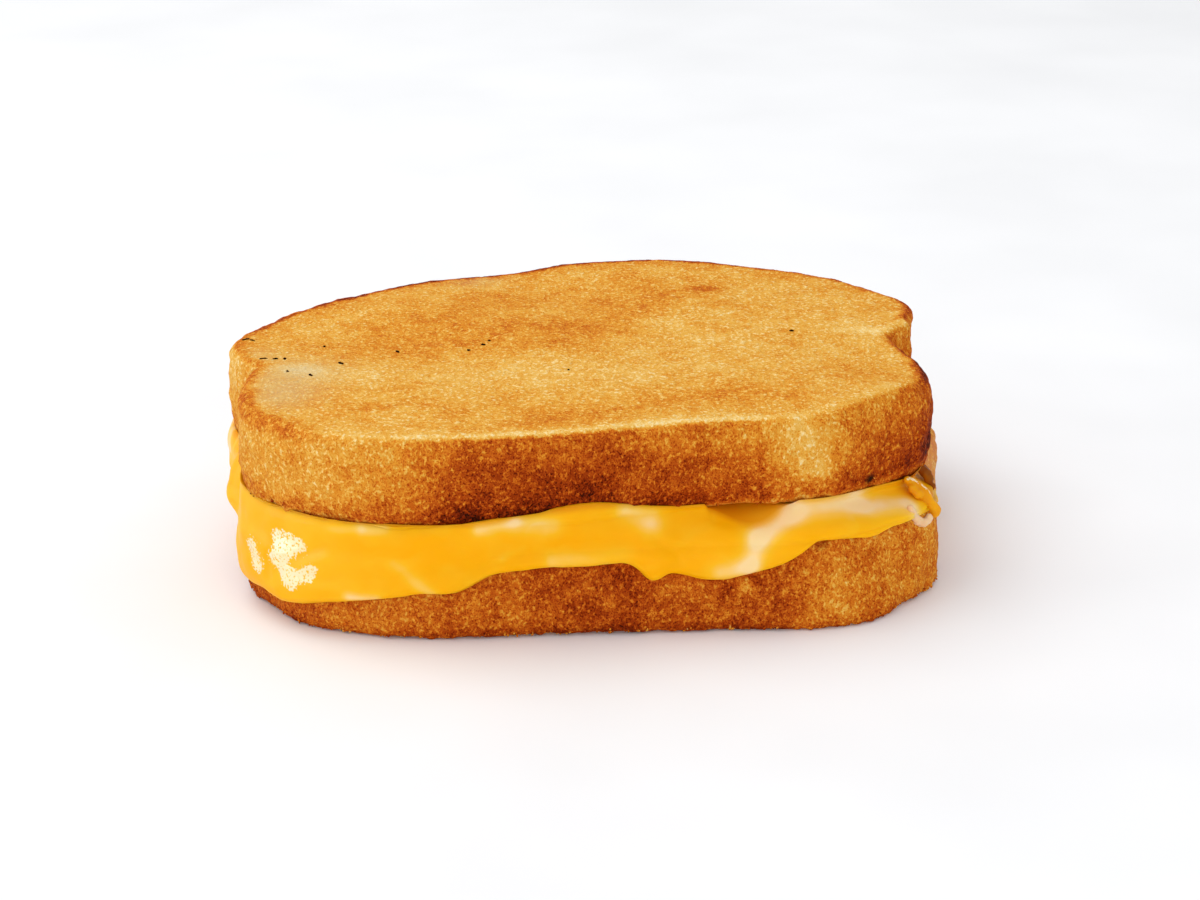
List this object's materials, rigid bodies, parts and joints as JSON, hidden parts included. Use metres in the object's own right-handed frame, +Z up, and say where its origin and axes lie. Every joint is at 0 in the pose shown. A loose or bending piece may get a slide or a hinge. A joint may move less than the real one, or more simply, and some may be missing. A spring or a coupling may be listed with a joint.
{
  "type": "grilled cheese sandwich",
  "caption": "Toasted sandwich of thick pan-loaf slices with melted cheese squeezed out all round and hanging over the lower slice.",
  "frame": {"origin": "on the surface it lies on, under the middle of the sandwich's box", "axes": "+X along the slices' width, +Y towards their domed crowns, +Z up through the layers"},
  "size_m": [0.1388, 0.1004, 0.0394],
  "materials": {
    "toast_lower": "fried bread crust, deep golden brown, dry and finely pitted",
    "melted_cheese": "melted cheddar, warm yellow with pale marbling, smooth and slightly oily",
    "toast_upper": "griddled bread, mottled gold, fine crumb texture with a darker crust rim"
  },
  "bodies": {
    "root": {"bread_bottom": "toast_lower", "cheese": "melted_cheese", "bread_top": "toast_upper"}
  },
  "joints": []
}
